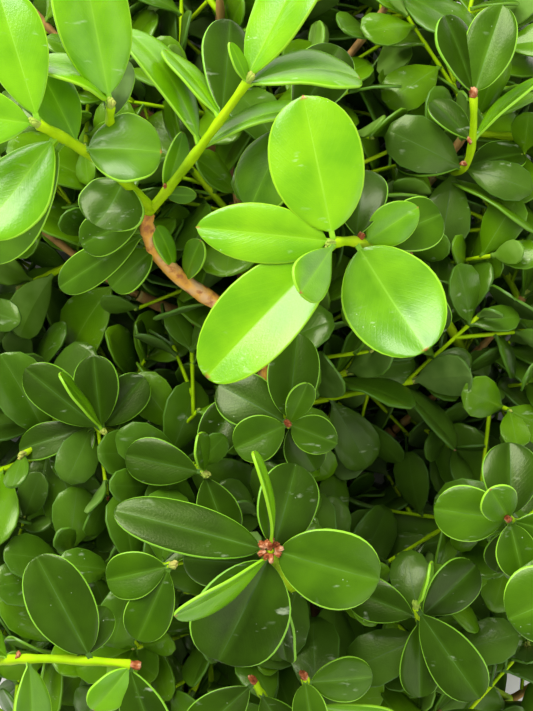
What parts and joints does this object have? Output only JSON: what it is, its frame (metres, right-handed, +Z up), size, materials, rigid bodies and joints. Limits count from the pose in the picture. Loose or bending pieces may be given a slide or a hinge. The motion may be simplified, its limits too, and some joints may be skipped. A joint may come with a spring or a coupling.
{
  "type": "cut boxwood branch",
  "caption": "Bushy leafy branch of common box, cut clean at its woody end and laid down, with small oval evergreen leaves in crossed pairs on upturned shoots.",
  "frame": {"origin": "bottom centre of the lying branch's bounding box, on the surface it lies on", "axes": "+Y along the branch from its cut end to its tip, +Z up, +X to the right as seen from the cut end"},
  "size_m": [0.1644, 0.2516, 0.1017],
  "materials": {
    "woody_stem": "thin peeling bark",
    "young_wood": "young bark",
    "foliage": "glossy evergreen leaf"
  },
  "bodies": {
    "root": {"main_stem": "woody_stem", "bough_right_1": "young_wood", "bough_left_1": "young_wood", "bough_upper_1": "young_wood", "bough_lower_1": "young_wood", "bough_right_2": "young_wood", "bough_left_2": "young_wood", "bough_upper_2": "young_wood", "bough_lower_2": "young_wood", "bough_right_3": "young_wood", "bough_left_3": "young_wood", "bough_upper_3": "young_wood", "bough_lower_3": "young_wood", "bough_right_4": "young_wood", "bough_left_4": "young_wood", "bough_upper_4": "young_wood", "bough_lower_4": "young_wood", "bough_right_5": "young_wood", "bough_left_5": "young_wood", "bough_upper_5": "young_wood", "bough_lower_5": "young_wood", "foliage_right_1": "foliage", "foliage_left_1": "foliage", "foliage_upper_1": "foliage", "foliage_lower_1": "foliage", "foliage_right_2": "foliage", "foliage_left_2": "foliage", "foliage_upper_2": "foliage", "foliage_lower_2": "foliage", "foliage_right_3": "foliage", "foliage_left_3": "foliage", "foliage_upper_3": "foliage", "foliage_lower_3": "foliage", "foliage_right_4": "foliage", "foliage_left_4": "foliage", "foliage_upper_4": "foliage", "foliage_lower_4": "foliage", "foliage_right_5": "foliage", "foliage_left_5": "foliage", "foliage_upper_5": "foliage", "foliage_lower_5": "foliage", "foliage_tip": "foliage"}
  },
  "joints": []
}
